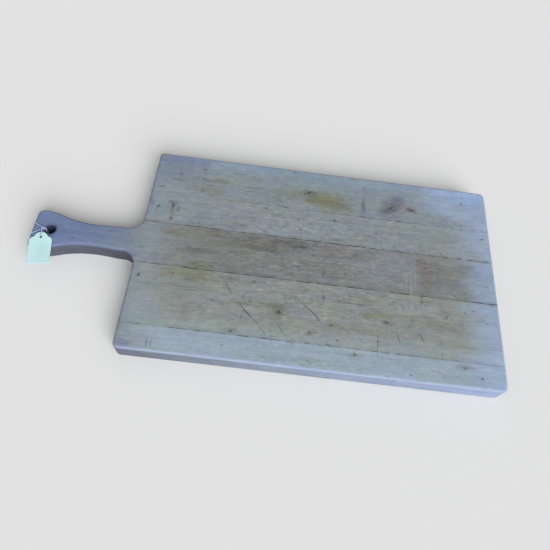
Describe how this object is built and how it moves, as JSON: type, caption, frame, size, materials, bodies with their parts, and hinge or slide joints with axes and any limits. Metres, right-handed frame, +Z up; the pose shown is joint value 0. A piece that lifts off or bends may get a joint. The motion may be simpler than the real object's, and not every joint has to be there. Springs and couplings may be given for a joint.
{
  "type": "wooden paddle chopping board",
  "caption": "Edge-glued wooden paddle board for chopping and serving, with a shaped handle, a hanging hole and a card price tag on a string.",
  "frame": {"origin": "centre of the board's footprint, on its underside, without the tag and its string", "axes": "+X along the grain from the handle to the blade's free end, +Y across the staves to the edge away from the narrow stave, +Z up out of the cutting face"},
  "size_m": [0.5808, 0.282, 0.0293],
  "materials": {
    "weathered_maple": "bare weathered hardwood, knife-cut and stained, matt",
    "dried_glue": "dark dried glue film in the joints, matt",
    "tag_card": "pale uncoated card, matt",
    "cotton_string": "twisted cotton string, matt"
  },
  "bodies": {
    "board": {"near_edge_stave": "weathered_maple", "near_inner_stave": "weathered_maple", "handle_stave": "weathered_maple", "far_inner_stave": "weathered_maple", "far_edge_stave": "weathered_maple", "glue_line_near_edge": "dried_glue", "glue_line_near_inner": "dried_glue", "glue_line_far_inner": "dried_glue", "glue_line_far_edge": "dried_glue", "tag_string": "cotton_string", "string_knot": "cotton_string"},
    "tag_loop": {"string_hitch": "cotton_string"},
    "tag": {"price_tag": "tag_card"}
  },
  "joints": [
    {"name": "tag_flip", "type": "hinge", "parent": "board", "child": "tag_loop", "pos_m": [-0.2769, -0.0016, 0.0272], "axis": [-0.9882, -0.1532, 0], "range_deg": [0, 165]},
    {"name": "tag_swing", "type": "hinge", "parent": "tag_loop", "child": "tag", "pos_m": [-0.2749, -0.0145, 0.0271], "axis": [0.0152, -0.0983, 0.995], "range_deg": [-45, 45]}
  ]
}
